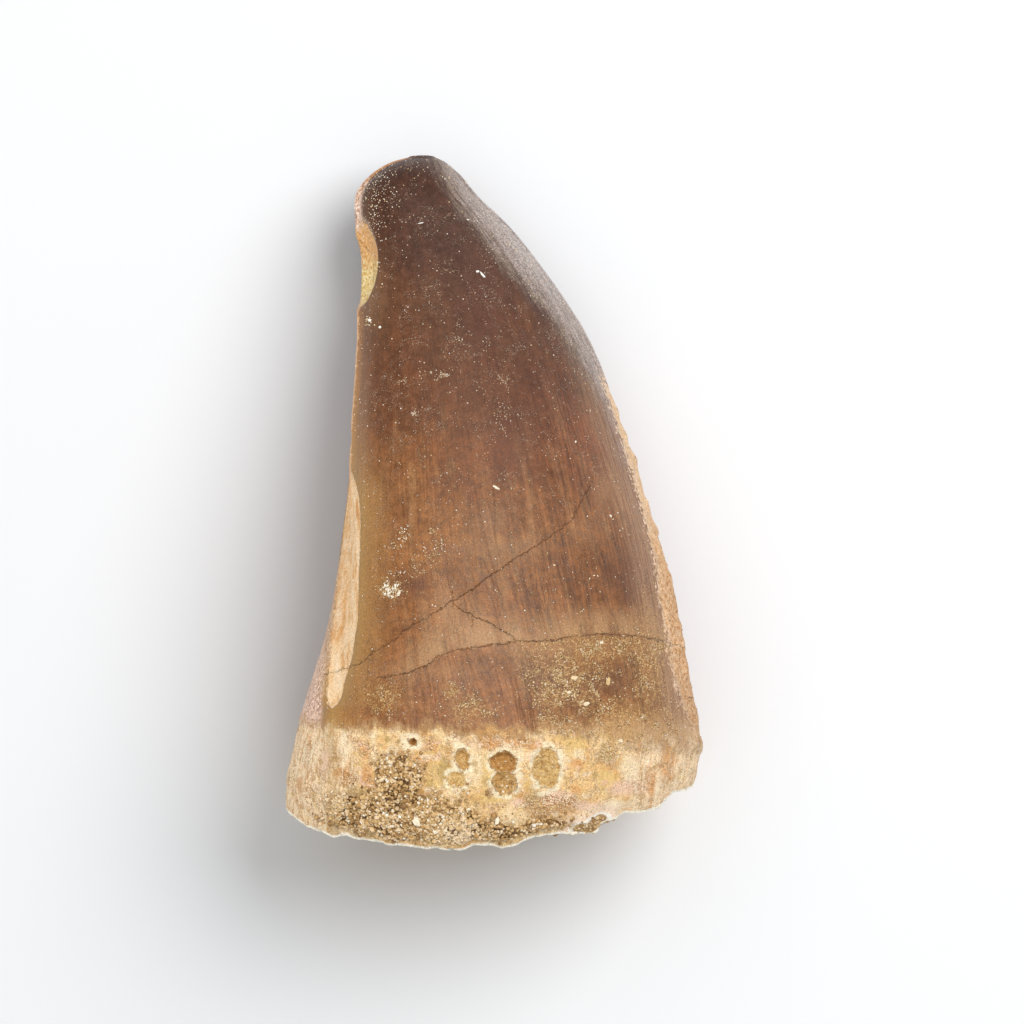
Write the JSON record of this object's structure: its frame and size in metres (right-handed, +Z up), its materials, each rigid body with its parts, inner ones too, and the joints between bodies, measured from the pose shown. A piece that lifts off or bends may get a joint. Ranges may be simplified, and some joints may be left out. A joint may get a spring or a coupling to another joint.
{
  "type": "fossil mosasaur tooth",
  "caption": "Curved, flattened conical fossil reptile tooth with worn cutting edges, a broken root stump and sandy matrix stuck in its end.",
  "frame": {"origin": "middle of the tooth's box, on the surface that it lies on", "axes": "+Y from the broken root to the tip, +Z up out of the flatter face, +X to the right seen from above"},
  "size_m": [0.0298, 0.0498, 0.0211],
  "materials": {
    "fossil_tooth": "semi-gloss brown enamel, darker to the tip, over matt cream bone",
    "sandy_matrix": "matt, coarse phosphate sand cemented in a crust"
  },
  "bodies": {
    "root": {"tooth": "fossil_tooth", "matrix": "sandy_matrix"}
  },
  "joints": []
}
